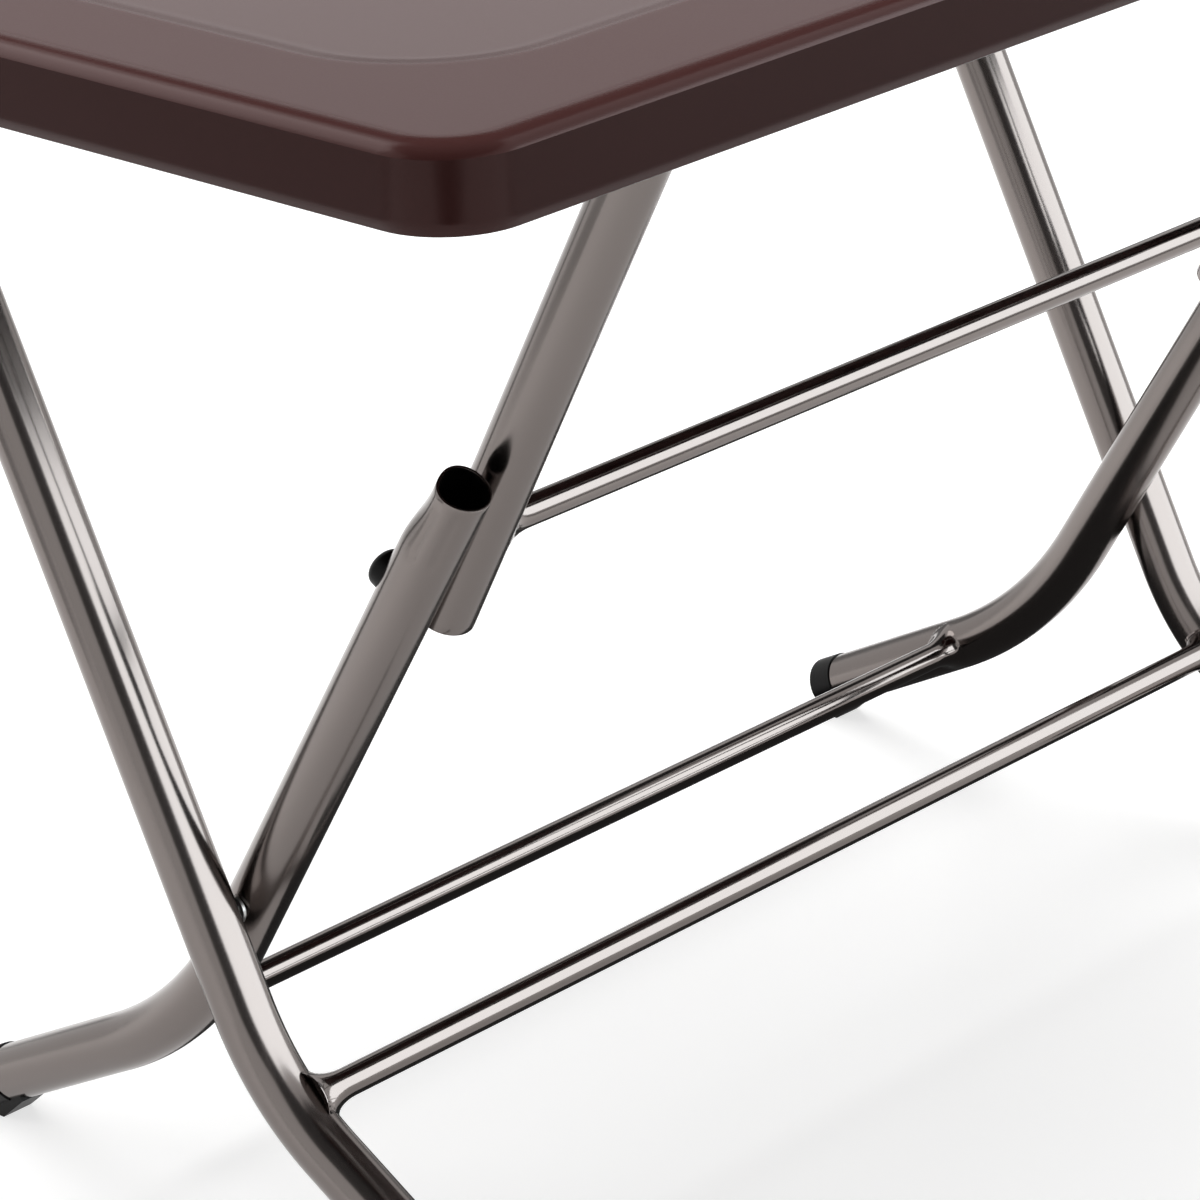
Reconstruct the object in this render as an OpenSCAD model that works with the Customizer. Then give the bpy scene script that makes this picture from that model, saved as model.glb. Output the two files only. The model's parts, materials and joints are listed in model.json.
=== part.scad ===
// Folding table: a moulded top on two pairs of crossed steel tubes.
// Units are millimetres. X runs from the rear feet to the front feet, Y along the
// crossbars, Z up. The origin is on the floor under the middle of the top.

/* [Table top] */
// length of the top from front to rear
top_len = 720; // [600:5:900]
// width of the top along the crossbars
top_wid = 1100; // [800:5:1300]
// height of the top's upper face above the floor
top_z = 708; // [680:0.5:760]
// depth of the apron from the upper face to its lower edge
apron_h = 38; // [37:0.5:60]
// rounding of the four upright corners
corner_r = 42; // [15:1:80]
// height of the rounded rim between the apron and the upper face
edge_h = 6.5; // [3:0.5:9]
// width of the rounded rim, seen from above
edge_w = 10; // [4:0.5:14]
// thickness of the apron wall
wall = 4; // [3:0.5:6]
// thickness of the top panel
panel_t = 6; // [4:0.5:9]
// width of the flat border along the top's long sides
side_border = 76; // [50:1:100]
// width of the flat border along the top's two ends
end_border = 66; // [50:1:100]
// depth of the recessed panel
recess_d = 1.4; // [0.5:0.1:3]
// corner radius of the recessed panel
recess_r = 45; // [20:5:120]
// thickness of the ribs below the panel
rib_t = 3; // [2:0.5:5]
// pockets between the ribs, front to rear
pockets_x = 7; // [3:1:9]
// pockets between the ribs, along the width
pockets_y = 11; // [4:1:14]

/* [Tubes and bars] */
// outside diameter of the leg tubes
tube_d = 32; // [25:0.5:40]
// wall thickness of the leg tubes
tube_t = 1.6; // [1:0.1:3]
// diameter of the crossbars at the knee and the feet
bar_d = 16; // [12:0.5:22]
// diameter of the two rods under the top
rod_d = 16; // [12:0.5:20]
// distance of the outer legs from the middle, along the width
outer_y = 387; // [300:1:450]
// step in Y from one tube to its neighbour
tube_step = 34.5; // [33:0.1:42]

/* [Linkage] */
// height of the crossing pivot above the floor
cross_z = 191.5; // [170:0.5:220]
// distance of the knee in front of the crossing pivot
knee_x = 137.5; // [110:0.5:170]
// height of the knee above the crossing pivot
knee_dz = 226; // [190:0.5:260]
// lean of the upper tubes from the horizontal, in degrees
upper_lean = 61.7; // [50:0.1:75]
// depth of the front hinge below the apron's lower edge
hinge_drop = 30.5; // [24:0.5:40]
// lean of the outer legs from the horizontal, in degrees
outer_lean = 63.8; // [55:0.1:75]
// depth of the rear rod below the apron's lower edge
rear_drop = 45.25; // [38:0.25:55]
// length of lower tube above the knee
lower_over = 45; // [25:1:60]
// length of upper tube below the knee
upper_over = 57; // [25:1:70]
// distance of the black button below the knee, along the lower tube
button_drop = 29; // [0:1:60]
// radius of the black button
button_r = 11; // [6:0.5:14]

/* [Feet] */
// straight length of the outer leg below the crossing pivot
outer_run = 48; // [10:1:80]
// bend radius of the outer leg's foot
outer_bend = 150; // [80:1:260]
// slope of the outer leg's foot, in degrees
outer_foot = 30; // [10:1:45]
// straight length of the outer leg's foot
outer_toe = 135; // [60:0.1:200]
// straight length of the lower tube below the crossing pivot
lower_run = 32; // [10:1:80]
// bend radius of the lower tube's foot
lower_bend = 248; // [80:1:300]
// slope of the lower tube's foot, in degrees
lower_foot = 27.6; // [10:0.1:45]
// straight length of the lower tube's foot
lower_toe = 119.5; // [60:0.1:200]
// slope of the front foot bar's seat down the bend, in degrees
outer_bar_a = 22.7; // [5:0.1:30]
// distance of the front foot bar from the tube's middle, towards the inside of the bend
outer_bar_in = 7.5; // [0:0.5:8]
// wall thickness of the end caps
cap_t = 0.8; // [0.6:0.1:3]
// length of tube that an end cap covers
cap_len = 14; // [10:1:45]
// thickness of an end cap's closed end
cap_end = 3; // [2:0.5:6]
// length of the wedge-shaped sole under an end cap
sole_len = 27; // [18:1:40]
// thickness of the sole at its thick end
sole_t = 6.5; // [5:0.1:9]
// width of the sole
sole_w = 20; // [10:1:26]

/* [Fixings] */
// distance of the hinge blocks from the middle, along the width
block_y = 250; // [150:1:290]
// length of a hinge block along the width
block_w = 36; // [24:1:60]
// width of the rails below the ribs
rail_w = 44; // [30:1:60]
// height of the rails below the ribs
rail_h = 20; // [12:1:30]
// length of the rails
rail_len = 880; // [600:5:1000]
// radial clearance of a rod in its hinge block
run_c = 0.09; // [0.02:0.01:0.1]
// gap left between parts that turn past each other
gap = 0.35; // [0.3:0.05:1]

/* [View] */
// which piece to draw

/* [Hidden] */
$fn = 64;
e = 0.01;
tr = tube_d / 2;
br = tr - tube_t;
bar_r = bar_d / 2;
fair = 0.25;
rod_r = rod_d / 2;
lower_y = outer_y - tube_step;
upper_y = lower_y - tube_step;
apron_z = top_z - apron_h;
rail_z = apron_z + 1;
rib_z = rail_z + rail_h;
panel_z = top_z - recess_d - panel_t;
lower_lean = atan2(knee_dz, knee_x);
knee_z = cross_z + knee_dz;
hinge_z = apron_z - hinge_drop;
hinge_x = knee_x + (hinge_z - knee_z) / tan(upper_lean);
rear_z = apron_z - rear_drop;
rear_x = -(rear_z - cross_z) / tan(outer_lean);
knee_len = sqrt(knee_x * knee_x + knee_dz * knee_dz);
upper_len = (hinge_z - knee_z) / sin(upper_lean);
outer_len = (rear_z - cross_z) / sin(outer_lean);
rail_t = 2;
block_l = rail_w;
screw_x = block_l / 2 - 6.5;
strap_t = 5;
screw_r = 2.2;
head_r = 4;
head_h = 2.4;
screw_up = 12;
boss_in = 12.5;
pin_r = 4;
outer_turn = outer_lean - outer_foot;
lower_turn = lower_lean - lower_foot;
boss_x = [rear_x, hinge_x];
boss_y = [-390, -130, 130, 390];

brown = [0.20, 0.13, 0.12];
steel = [0.70, 0.67, 0.65];
black = [0.05, 0.05, 0.05];
zinc = [0.60, 0.60, 0.60];

// Shared shapes

// a box with four rounded upright corners, centred in X and Y, in pieces that only touch
module round_box(lx, ly, r, z0, z1) {
  h = z1 - z0;
  translate([-lx / 2 + r, -ly / 2, z0]) cube([lx - 2 * r, ly, h]);
  for (s = [-1, 1])
    translate([s > 0 ? lx / 2 - r : -lx / 2, -ly / 2 + r, z0]) cube([r, ly - 2 * r, h]);
  for (i = [0:3])
    translate([(i == 0 || i == 3 ? 1 : -1) * (lx / 2 - r), (i < 2 ? 1 : -1) * (ly / 2 - r), z0])
      rotate([0, 0, 90 * i]) rotate_extrude(angle = 90) square([r, h]);
}

// a round bar along Y, from y0 to y1
module bar_y(r, y0, y1) {
  translate([0, y1, 0]) rotate([90, 0, 0]) cylinder(r = r, h = y1 - y0);
}

// one leg's shape: straight, then an arc towards +X, then a foot that is thinner by fair
module bent_rod(r, up, run, bend, turn, toe) {
  translate([0, 0, -run]) cylinder(r = r, h = up + run);
  translate([bend, 0, -run]) rotate([90, 0, 0]) rotate([0, 0, 180])
    rotate_extrude(angle = turn) translate([bend, 0]) circle(r = r);
  translate([bend * (1 - cos(turn)), 0, -run - bend * sin(turn)]) rotate([0, -turn, 0])
    translate([0, 0, -toe]) cylinder(r = r - fair, h = toe + 0.5);
}

module bent_tube(up, run, bend, turn, toe) {
  difference() {
    bent_rod(tr, up, run, bend, turn, toe);
    bent_rod(br, up + 1, run, bend, turn, toe + 1);
  }
}

// puts a shape drawn along a leg in the place of the outer leg
module on_outer(y) {
  translate([0, y, cross_z]) rotate([0, outer_lean - 90, 0]) children();
}

// puts a shape drawn along a leg in the place of the lower tube
module on_lower(y) {
  translate([0, y, cross_z]) rotate([0, 90 - lower_lean, 0]) mirror([1, 0, 0]) children();
}

// puts a shape drawn upwards from the knee in the place of the upper tube
module on_upper(y) {
  translate([knee_x, y, knee_z]) rotate([0, 90 - upper_lean, 0]) children();
}

// moves a shape from the end of the bend to the foot
module at_toe(run, bend, turn, d) {
  translate([bend * (1 - cos(turn)), 0, -run - bend * sin(turn)]) rotate([0, -turn, 0])
    translate([0, 0, -d]) children();
}

// Table top

// section of the border: u is measured inwards from the outer edge
module border_section() {
  steps = 7;
  z1 = top_z - edge_h;
  polygon(concat(
    [[0, apron_z], [wall, apron_z], [wall, panel_z], [corner_r, panel_z], [corner_r, top_z]],
    [for (i = [0:steps]) [edge_w - edge_w * sin(90 * i / steps), z1 + edge_h * cos(90 * i / steps)]]));
}

// the four straight sides of the border
module top_border() {
  lx = top_len - 2 * corner_r;
  ly = top_wid - 2 * corner_r;
  for (s = [-1, 1]) {
    translate([s * top_len / 2, ly / 2, 0]) rotate([90, 0, 0]) mirror([s > 0 ? 1 : 0, 0, 0])
      linear_extrude(height = ly) border_section();
    translate([-s * lx / 2, s * top_wid / 2, 0]) rotate([90, 0, 90 * s]) mirror([1, 0, 0])
      linear_extrude(height = lx) border_section();
  }
}

module top_corners() {
  for (i = [0:3])
    translate([(i == 0 || i == 3 ? 1 : -1) * (top_len / 2 - corner_r),
      (i < 2 ? 1 : -1) * (top_wid / 2 - corner_r), 0])
      rotate([0, 0, 90 * i]) rotate_extrude(angle = 90)
        translate([corner_r, 0]) mirror([1, 0]) border_section();
}

module top_ribs() {
  lx = top_len - 2 * wall;
  ly = top_wid - 2 * wall;
  px = (lx - (pockets_x - 1) * rib_t) / pockets_x;
  py = (ly - (pockets_y - 1) * rib_t) / pockets_y;
  for (i = [1:pockets_x - 1])
    translate([-lx / 2 + i * px + (i - 1) * rib_t, -ly / 2, rib_z]) cube([rib_t, ly, panel_z - rib_z]);
  for (j = [1:pockets_y - 1])
    translate([-lx / 2, -ly / 2 + j * py + (j - 1) * rib_t, rib_z]) cube([lx, rib_t, panel_z - rib_z]);
}

module top_bosses(r, z0, z1) {
  for (x = boss_x, y = boss_y) translate([x, y, z0]) cylinder(r = r, h = z1 - z0);
}

module table_top() {
  color(brown)
    difference() {
      union() {
        top_border();
        top_corners();
        translate([-top_len / 2 + corner_r, -top_wid / 2 + corner_r, panel_z])
          cube([top_len - 2 * corner_r, top_wid - 2 * corner_r, top_z - panel_z]);
        top_ribs();
        top_bosses(8, rib_z, panel_z);
      }
      round_box(top_len - 2 * side_border, top_wid - 2 * end_border, recess_r, top_z - recess_d, top_z + 1);
      top_bosses(screw_r - 0.3, rib_z - 1, rib_z + boss_in);
    }
}

// Rails, hinge blocks and their screws

module rail(x) {
  color(steel)
    difference() {
      translate([x - rail_w / 2, -rail_len / 2, rail_z]) cube([rail_w, rail_len, rail_h]);
      translate([x - rail_w / 2 + rail_t, -rail_len / 2 - 1, rail_z + rail_t])
        cube([rail_w - 2 * rail_t, rail_len + 2, rail_h - 2 * rail_t]);
      for (y = boss_y) translate([x, y, rail_z - 1]) cylinder(r = screw_r + 0.1, h = rail_h + 2);
      for (s = [-1, 1], sy = [-1, 1])
        translate([x + s * screw_x, sy * block_y, rail_z - 1]) cylinder(r = screw_r - 0.3, h = rail_t + 2);
    }
}

module rail_screw(x, i) {
  color(zinc)
    translate([x, boss_y[i], rail_z]) {
      translate([0, 0, -0.02]) cylinder(r = screw_r - 0.35, h = rail_h + boss_in - 1);
      difference() {
        translate([0, 0, -2.6]) cylinder(r = 4.4, h = 2.6);
        translate([0, 0, -3]) cylinder(r = 1.6, h = 2, $fn = 6);
      }
    }
}

module hinge_block(y) {
  color(black)
    difference() {
      translate([hinge_x - block_l / 2, y - block_w / 2, hinge_z])
        cube([block_l, block_w, rail_z - hinge_z]);
      translate([hinge_x, 0, hinge_z]) bar_y(rod_r + run_c, y - block_w, y + block_w);
      for (s = [-1, 1])
        translate([hinge_x + s * screw_x, y, hinge_z - 1])
          cylinder(r = screw_r + 0.1, h = rail_z - hinge_z + 2);
    }
}

module hinge_strap(y) {
  color(black)
    difference() {
      union() {
        translate([hinge_x - block_l / 2, y - block_w / 2, hinge_z - strap_t])
          cube([block_l, block_w, strap_t]);
        translate([hinge_x, 0, hinge_z]) bar_y(rod_r + 4, y - block_w / 2, y + block_w / 2);
      }
      translate([hinge_x, 0, hinge_z]) bar_y(rod_r + run_c, y - block_w, y + block_w);
      translate([hinge_x - block_l, y - block_w, hinge_z]) cube([2 * block_l, 2 * block_w, block_l]);
      for (s = [-1, 1])
        translate([hinge_x + s * screw_x, y, hinge_z - 2 * strap_t])
          cylinder(r = screw_r + 0.1, h = 4 * strap_t);
    }
}

// a screw from below, through a block of height h and into the rail
module block_screw(h) {
  translate([0, 0, -0.02]) cylinder(r = screw_r - 0.35, h = h + rail_t - 0.5);
  difference() {
    translate([0, 0, -head_h]) cylinder(r = head_r, h = head_h);
    translate([0, 0, -head_h - 0.6]) cylinder(r = 0.4 * head_r, h = 2, $fn = 6);
  }
}

module strap_screw(s, y) {
  color(zinc)
    translate([hinge_x + s * screw_x, y, hinge_z - strap_t]) block_screw(rail_z - hinge_z + strap_t);
}

// the open-bottomed seat for the rear rod: round crown, upright front wall, sloped rear wall
module rear_saddle(y) {
  seat = rod_r + 0.3;
  foot = 2 * rod_r;
  color(black)
    difference() {
      translate([rear_x - block_l / 2 - 2, y - block_w / 2, rear_z - foot])
        cube([block_l, block_w, rail_z - rear_z + foot]);
      translate([rear_x, 0, rear_z]) bar_y(seat, y - block_w, y + block_w);
      translate([rear_x, y - block_w, rear_z - 2 * foot]) cube([seat, 2 * block_w, 2 * foot]);
      translate([rear_x, y - block_w, rear_z]) rotate([0, 40, 0])
        translate([-seat, 0, -60]) cube([seat + 20, 2 * block_w, 60]);
      for (s = [-1, 1]) translate([rear_x + s * screw_x, y, rear_z - 2 * foot]) {
        cylinder(r = screw_r + 0.1, h = rail_z - rear_z + 2 * foot + 1);
        cylinder(r = head_r + 0.3, h = 2 * foot + screw_up);
      }
    }
}

module saddle_screw(s, y) {
  color(zinc)
    translate([rear_x + s * screw_x, y, rear_z + screw_up]) block_screw(rail_z - rear_z - screw_up);
}

// Upper frame

module upper_tube(s) {
  color(steel)
    difference() {
      on_upper(s * upper_y) translate([0, 0, -upper_over])
        cylinder(r = tr, h = upper_over + upper_len + 14);
      on_upper(s * upper_y) translate([0, 0, -upper_over - 1])
        cylinder(r = br, h = upper_over + upper_len + 16);
      translate([knee_x, 0, knee_z])
        bar_y(pin_r + 0.02, s > 0 ? upper_y : -upper_y - 30, s > 0 ? upper_y + 30 : -upper_y);
    }
}

// a crossbar whose ends are cut to sit against the two tubes that it is welded to
module upper_hinge_rod() {
  color(steel)
    difference() {
      translate([hinge_x, 0, hinge_z]) bar_y(rod_r, -upper_y, upper_y);
      for (s = [-1, 1]) on_upper(s * upper_y) cylinder(r = tr, h = upper_len + 40);
    }
}

module knee_bar() {
  color(steel)
    difference() {
      translate([knee_x, 0, knee_z]) bar_y(bar_r, -upper_y, upper_y);
      for (s = [-1, 1]) on_upper(s * upper_y) translate([0, 0, -60]) cylinder(r = tr, h = 120);
    }
}

// a hidden pivot: both heads are inside the tubes
module pivot_pin(y_in, y_out) {
  a = min(y_in, y_out);
  b = max(y_in, y_out);
  bar_y(pin_r, a + 11, b - 11);
  bar_y(6.2, a + 10.4, a + 12.6);
  bar_y(6.2, b - 12.6, b - 10.4);
}

module knee_rivet(s) {
  color(zinc) translate([knee_x, 0, knee_z]) pivot_pin(s * upper_y, s * lower_y);
}

module pivot_washer(mid) {
  t = tube_step - tube_d - 2 * gap;
  difference() {
    bar_y(8, mid - t / 2, mid + t / 2);
    bar_y(pin_r + 0.08, mid - t, mid + t);
  }
}

module knee_washer(s) {
  color(zinc) translate([knee_x, 0, knee_z]) pivot_washer(s * (upper_y + lower_y) / 2);
}

// Lower frame

module lower_tube(s) {
  color(steel)
    difference() {
      on_lower(s * lower_y)
        bent_tube(knee_len + lower_over, lower_run, lower_bend, lower_turn, lower_toe);
      translate([knee_x, 0, knee_z])
        bar_y(pin_r + 0.08, s > 0 ? upper_y : -lower_y, s > 0 ? lower_y : -upper_y);
      translate([0, 0, cross_z])
        bar_y(pin_r + 0.02, s > 0 ? lower_y : -outer_y, s > 0 ? outer_y : -lower_y);
    }
}

// this bar is welded on where the bend ends and the foot's straight starts
module rear_foot_bar() {
  color(steel)
    difference() {
      on_lower(0) at_toe(lower_run, lower_bend, lower_turn, 0) bar_y(bar_r, -lower_y, lower_y);
      for (s = [-1, 1])
        on_lower(s * lower_y) bent_rod(tr, 20, lower_run, lower_bend, lower_turn, lower_toe);
    }
}

module lower_button(s) {
  color(black)
    difference() {
      on_lower(s * lower_y) translate([0, 0, knee_len - button_drop]) rotate([0, 90, 0]) {
        cylinder(r = button_r, h = tr + 1);
        translate([0, 0, tr + 1]) scale([1, 1, 0.6]) sphere(r = button_r);
      }
      on_lower(s * lower_y) translate([0, 0, knee_len - 2 * button_drop])
        cylinder(r = tr, h = 4 * button_drop);
      on_lower(s * lower_y) translate([-2 * tr, -tr, knee_len - 2 * button_drop])
        cube([2 * tr, 2 * tr, 4 * button_drop]);
    }
}

// a thin sleeve with a closed end, and below it a wedge that meets the floor
module foot_cap() {
  difference() {
    union() {
      cylinder(r = tr + cap_t, h = cap_len + cap_end);
      translate([0, sole_w / 2, 0]) rotate([90, 0, 0]) linear_extrude(height = sole_w)
        polygon([[-tr / 2, 0.5], [-tr - sole_t, 0.5], [-tr, sole_len], [-tr / 2, sole_len]]);
    }
    translate([0, 0, cap_end]) cylinder(r = tr - fair + 0.03, h = sole_len + cap_len);
  }
}

// everything below the floor, under the whole table
module floor_cut() {
  translate([-top_len, -top_wid, -top_z]) cube([2 * top_len, 2 * top_wid, top_z]);
}

module rear_foot_cap(s) {
  color(black)
    difference() {
      on_lower(s * lower_y) at_toe(lower_run, lower_bend, lower_turn, lower_toe + cap_end) foot_cap();
      floor_cut();
    }
}

// Outer frame

module outer_leg(s) {
  color(steel)
    difference() {
      on_outer(s * outer_y)
        bent_tube(outer_len + 14, outer_run, outer_bend, outer_turn, outer_toe);
      translate([0, 0, cross_z])
        bar_y(pin_r + 0.08, s > 0 ? lower_y : -outer_y, s > 0 ? outer_y : -lower_y);
    }
}

module rear_rod() {
  color(steel)
    difference() {
      translate([rear_x, 0, rear_z]) bar_y(rod_r, -outer_y, outer_y);
      for (s = [-1, 1]) on_outer(s * outer_y) cylinder(r = tr, h = outer_len + 40);
    }
}

// this bar is welded on partway down the bend, a little to the inside of it
module front_foot_bar() {
  seat = outer_bend - outer_bar_in;
  color(steel)
    difference() {
      on_outer(0)
        translate([outer_bend - seat * cos(outer_bar_a), 0, -outer_run - seat * sin(outer_bar_a)])
          bar_y(bar_r, -outer_y, outer_y);
      for (s = [-1, 1])
        on_outer(s * outer_y) bent_rod(tr, 20, outer_run, outer_bend, outer_turn, outer_toe);
    }
}

module cross_rivet(s) {
  color(zinc) translate([0, 0, cross_z]) pivot_pin(s * lower_y, s * outer_y);
}

module cross_washer(s) {
  color(zinc) translate([0, 0, cross_z]) pivot_washer(s * (lower_y + outer_y) / 2);
}

module front_foot_cap(s) {
  color(black)
    difference() {
      on_outer(s * outer_y) at_toe(outer_run, outer_bend, outer_turn, outer_toe + cap_end) foot_cap();
      floor_cut();
    }
}

// Every piece by its name

table_top();
rail(hinge_x);  // front_rail
rail(rear_x);  // rear_rail
rail_screw(hinge_x, 0);  // front_rail_screw_1
rail_screw(hinge_x, 1);  // front_rail_screw_2
rail_screw(hinge_x, 2);  // front_rail_screw_3
rail_screw(hinge_x, 3);  // front_rail_screw_4
rail_screw(rear_x, 0);  // rear_rail_screw_1
rail_screw(rear_x, 1);  // rear_rail_screw_2
rail_screw(rear_x, 2);  // rear_rail_screw_3
rail_screw(rear_x, 3);  // rear_rail_screw_4
hinge_block(-block_y);  // front_hinge_block_near
hinge_block(block_y);  // front_hinge_block_far
hinge_strap(-block_y);  // front_hinge_strap_near
hinge_strap(block_y);  // front_hinge_strap_far
strap_screw(-1, -block_y);  // front_strap_screw_1
strap_screw(1, -block_y);  // front_strap_screw_2
strap_screw(-1, block_y);  // front_strap_screw_3
strap_screw(1, block_y);  // front_strap_screw_4
rear_saddle(-block_y);  // rear_saddle_near
rear_saddle(block_y);  // rear_saddle_far
saddle_screw(-1, -block_y);  // rear_saddle_screw_1
saddle_screw(1, -block_y);  // rear_saddle_screw_2
saddle_screw(-1, block_y);  // rear_saddle_screw_3
saddle_screw(1, block_y);  // rear_saddle_screw_4
upper_tube(-1);  // upper_tube_near
upper_tube(1);  // upper_tube_far
upper_hinge_rod();
knee_bar();
knee_rivet(-1);  // knee_rivet_near
knee_rivet(1);  // knee_rivet_far
knee_washer(-1);  // knee_washer_near
knee_washer(1);  // knee_washer_far
lower_tube(-1);  // lower_tube_near
lower_tube(1);  // lower_tube_far
rear_foot_bar();
lower_button(-1);  // lower_button_near
lower_button(1);  // lower_button_far
rear_foot_cap(-1);  // rear_foot_cap_near
rear_foot_cap(1);  // rear_foot_cap_far
outer_leg(-1);  // outer_leg_near
outer_leg(1);  // outer_leg_far
rear_rod();
front_foot_bar();
cross_rivet(-1);  // cross_rivet_near
cross_rivet(1);  // cross_rivet_far
cross_washer(-1);  // cross_washer_near
cross_washer(1);  // cross_washer_far
front_foot_cap(-1);  // front_foot_cap_near
front_foot_cap(1);  // front_foot_cap_far
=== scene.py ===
# %% [markdown]
# # A folding table with a moulded top and plated tube legs
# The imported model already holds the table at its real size: the tubes, the crossbars, the hinge
# blocks, the rails and the top. This file gives it its looks. It starts by loading that model, and
# every piece made here is in metres, in the same frame: the origin is on the floor under the middle
# of the top, X runs from the rear feet to the front feet, and Z points up.

# %% Load the model
import math

import bmesh
import bpy
import numpy as np
from mathutils import Matrix, Vector
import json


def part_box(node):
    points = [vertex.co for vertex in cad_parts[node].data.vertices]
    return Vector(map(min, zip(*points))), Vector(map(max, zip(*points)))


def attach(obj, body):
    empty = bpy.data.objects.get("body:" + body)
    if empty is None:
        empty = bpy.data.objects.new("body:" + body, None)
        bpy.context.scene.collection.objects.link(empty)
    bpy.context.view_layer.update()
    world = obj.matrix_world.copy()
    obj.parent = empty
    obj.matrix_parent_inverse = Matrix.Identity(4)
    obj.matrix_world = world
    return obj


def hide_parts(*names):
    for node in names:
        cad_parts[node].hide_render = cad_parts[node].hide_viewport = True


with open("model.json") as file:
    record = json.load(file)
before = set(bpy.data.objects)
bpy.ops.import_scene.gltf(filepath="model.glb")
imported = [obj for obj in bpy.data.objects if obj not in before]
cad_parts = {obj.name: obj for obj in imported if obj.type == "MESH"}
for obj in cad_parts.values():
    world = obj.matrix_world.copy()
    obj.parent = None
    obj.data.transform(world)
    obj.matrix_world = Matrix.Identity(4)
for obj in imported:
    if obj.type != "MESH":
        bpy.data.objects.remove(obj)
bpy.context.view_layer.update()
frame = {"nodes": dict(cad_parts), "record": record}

# %% [markdown]
# The camera stands about 2.2 m from the near corner of the top and looks down on it. The picture
# shows only that corner and the legs below it, so the lens is a long one. A camera has no
# "look at" of its own here: its rotation is written as three directions, right, up and backwards,
# from an azimuth, a pitch and a small roll.

# %% Camera
CAMERA_PLACE = Vector((1.8660, -2.0493, 1.3760))
AZIMUTH = math.radians(43.613)
PITCH = math.radians(22.179)
ROLL = math.radians(-1.973)
LENS_MM = 162.1


def camera_axes(azimuth, pitch, roll):
    """Right, up and forward of a camera that looks along -X+Y and down."""
    forward = Vector((-math.sin(azimuth) * math.cos(pitch),
                      math.cos(azimuth) * math.cos(pitch), -math.sin(pitch)))
    right = Vector((math.cos(azimuth), math.sin(azimuth), 0))
    up = right.cross(forward)
    turned_right = right * math.cos(roll) + up * math.sin(roll)
    turned_up = up * math.cos(roll) - right * math.sin(roll)
    return turned_right, turned_up, forward


right, up, forward = camera_axes(AZIMUTH, PITCH, ROLL)
camera = bpy.data.objects.new("camera", bpy.data.cameras.new("camera"))
bpy.context.scene.collection.objects.link(camera)
camera.data.lens = LENS_MM
camera.data.sensor_width = 36
camera.data.sensor_fit = "AUTO"
camera.data.clip_end = 60
camera.matrix_world = Matrix((right, up, -forward)).transposed().to_4x4()
camera.location = CAMERA_PLACE
bpy.context.scene.camera = camera

# %% [markdown]
# The top's sizes are read from the model's own box, so they follow it when it changes. The radius and
# wall of the tubes, their distance from the middle, their pivots and their leans are typed again
# here, so they are changed by hand when the model changes.

# %% Sizes taken from the model
top_low, top_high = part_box("table_top")
TOP_Z = top_high[2]
APRON_Z = top_low[2]
HALF_LEN = top_high[0]
HALF_WID = top_high[1]
print("top:", round(2 * HALF_LEN, 3), "x", round(2 * HALF_WID, 3), "x", round(TOP_Z - APRON_Z, 4))

TUBE_R = 0.016
TUBE_WALL = 0.0016
BAR_R = 0.008
UPPER_Y = 0.318
LOWER_Y = 0.3525
OUTER_Y = 0.387
CROSS = Vector((0, 0, 0.1915))
KNEE = Vector((0.1375, 0, 0.4175))
UPPER_LEAN = math.radians(61.7)
OUTER_LEAN = math.radians(63.8)
LOWER_LEAN = math.atan2(KNEE.z - CROSS.z, KNEE.x - CROSS.x)

# %% [markdown]
# ## Stage
# A pale floor, a white surround and two big soft lamps. Plated tubes have hardly any colour of their
# own: what one sees on them is the room. So the room is built for the reflections as well. The cards
# are patches of a large ball round the table, and a few flat ones just above the floor. Only
# reflections see them, as a photographer hangs white and black boards round a shiny thing.

# %% Floor and surround
scene = bpy.context.scene
scene.view_settings.view_transform = "Standard"
FLOOR_COLOUR = (0.55, 0.55, 0.547, 1)
FLOOR_LIFT = 0.70


def nodes_of(material):
    """Clears a material and gives back its node tree and its output node."""
    material.use_nodes = True
    tree = material.node_tree
    tree.nodes.clear()
    return tree, tree.nodes.new("ShaderNodeOutputMaterial")


def larger(tree, first, second):
    """The larger of two outputs."""
    node = tree.nodes.new("ShaderNodeMath")
    node.operation = "MAXIMUM"
    tree.links.new(first, node.inputs[0])
    tree.links.new(second, node.inputs[1])
    return node.outputs[0]


floor_material = bpy.data.materials.new("floor_paint")
tree, output = nodes_of(floor_material)
paint = tree.nodes.new("ShaderNodeBsdfDiffuse")
paint.inputs["Color"].default_value = FLOOR_COLOUR
seen = tree.nodes.new("ShaderNodeLightPath")
lift = tree.nodes.new("ShaderNodeMath")
lift.operation = "MULTIPLY"
lift.inputs[1].default_value = FLOOR_LIFT
glow = tree.nodes.new("ShaderNodeEmission")
painted = tree.nodes.new("ShaderNodeAddShader")
tree.links.new(larger(tree, seen.outputs["Is Camera Ray"], seen.outputs["Is Glossy Ray"]),
               lift.inputs[0])
tree.links.new(lift.outputs[0], glow.inputs["Strength"])
tree.links.new(paint.outputs[0], painted.inputs[0])
tree.links.new(glow.outputs[0], painted.inputs[1])
tree.links.new(painted.outputs[0], output.inputs["Surface"])

FLOOR_SIZE = 30
bpy.ops.mesh.primitive_plane_add(size=FLOOR_SIZE)
floor = bpy.context.active_object
floor.name = "floor"
floor.data.materials.append(floor_material)

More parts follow.
